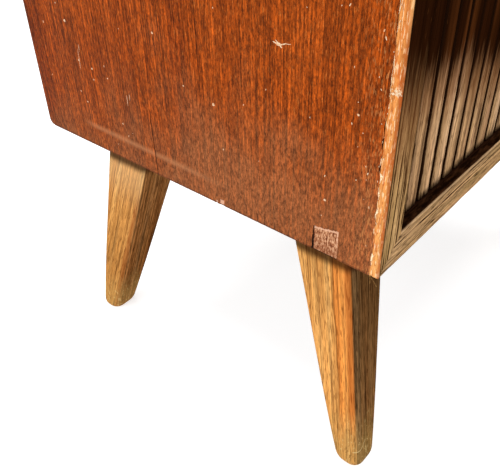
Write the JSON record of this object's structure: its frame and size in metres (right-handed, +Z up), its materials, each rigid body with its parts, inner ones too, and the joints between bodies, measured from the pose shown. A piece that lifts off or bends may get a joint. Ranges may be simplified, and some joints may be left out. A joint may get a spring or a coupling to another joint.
{
  "type": "sewing table",
  "caption": "Sewing table: slatted-front cabinet on splayed tapered legs, with fold-over lid, machine opening and pull-out lid bearers.",
  "frame": {"origin": "on the floor, at the middle of the table's footprint", "axes": "+Z up, +X to the right of a person facing the front, front faces -Y"},
  "size_m": [0.5638, 0.436, 0.76],
  "materials": {
    "veneer": "satin",
    "side_lipping": "satin",
    "rail_lipping": "matte",
    "back_ply": "matte",
    "leg_wood": "satin",
    "lid_veneer": "satin",
    "lid_lipping": "satin",
    "door_panel": "matte",
    "slat_wood": "matte",
    "bearer_wood": "satin",
    "brass": "satin",
    "hinge_steel": "satin",
    "catch_plastic": "matte",
    "felt": "matte"
  },
  "bodies": {
    "cabinet": {"left_side": "veneer", "right_side": "veneer", "bottom_board": "veneer", "worktop": "veneer", "left_side_lipping": "side_lipping", "right_side_lipping": "side_lipping", "bottom_board_lipping": "rail_lipping", "worktop_lipping": "rail_lipping", "back_panel": "back_ply", "front_left_leg": "leg_wood", "front_right_leg": "leg_wood", "rear_left_leg": "leg_wood", "rear_right_leg": "leg_wood", "hinge_fixed_leaf": "brass", "hinge_rod": "brass", "left_head_bracket": "hinge_steel", "right_head_bracket": "hinge_steel", "front_bearer_guide": "bearer_wood", "rear_bearer_guide": "bearer_wood", "lid_pads": "felt", "door_catch": "catch_plastic"},
    "lid": {"lid_board": "lid_veneer", "lid_front_lipping": "lid_lipping", "lid_rear_lipping": "lid_lipping", "lid_left_lipping": "lid_lipping", "lid_right_lipping": "lid_lipping", "hinge_lid_leaf": "brass"},
    "door": {"door_board": "door_panel", "door_slat_01": "slat_wood", "door_slat_02": "slat_wood", "door_slat_03": "slat_wood", "door_slat_04": "slat_wood", "door_slat_05": "slat_wood", "door_slat_06": "slat_wood", "door_slat_07": "slat_wood", "door_slat_08": "slat_wood", "door_slat_09": "slat_wood", "door_slat_10": "slat_wood", "door_slat_11": "slat_wood", "door_slat_12": "slat_wood", "door_slat_13": "slat_wood", "door_slat_14": "slat_wood", "door_slat_15": "slat_wood", "door_slat_16": "slat_wood", "door_slat_17": "slat_wood", "door_slat_18": "slat_wood", "door_slat_19": "slat_wood", "door_slat_20": "slat_wood", "door_slat_21": "slat_wood", "door_slat_22": "slat_wood", "door_slat_23": "slat_wood", "door_knob": "brass", "door_pivots": "brass", "door_strike": "hinge_steel", "spool_tray": "bearer_wood", "spool_pegs": "bearer_wood"},
    "front_bearer": {"front_bearer": "bearer_wood"},
    "rear_bearer": {"rear_bearer": "bearer_wood"},
    "left_head_pin": {"left_head_pin": "hinge_steel"},
    "right_head_pin": {"right_head_pin": "hinge_steel"}
  },
  "joints": [
    {"name": "lid_hinge", "type": "hinge", "parent": "cabinet", "child": "lid", "pos_m": [-0.2784, 0, 0.7365], "axis": [0, -1, 0], "range_deg": [0, 180]},
    {"name": "door_pivot", "type": "hinge", "parent": "cabinet", "child": "door", "pos_m": [0.2299, -0.186, 0.5], "axis": [0, 0, 1], "range_deg": [0, 90]},
    {"name": "front_bearer_slide", "type": "slide", "parent": "cabinet", "child": "front_bearer", "axis": [-1, 0, 0], "range_m": [0, 0.24]},
    {"name": "rear_bearer_slide", "type": "slide", "parent": "cabinet", "child": "rear_bearer", "axis": [-1, 0, 0], "range_m": [0, 0.24]},
    {"name": "left_head_tilt", "type": "hinge", "parent": "cabinet", "child": "left_head_pin", "pos_m": [-0.085, 0.1135, 0.726], "axis": [1, 0, 0], "range_deg": [0, 95]},
    {"name": "right_head_tilt", "type": "hinge", "parent": "cabinet", "child": "right_head_pin", "pos_m": [0.125, 0.1135, 0.726], "axis": [1, 0, 0], "range_deg": [0, 95]}
  ],
  "couplings": [
    {"joint": "right_head_tilt", "follows": "left_head_tilt", "ratio": 1}
  ]
}
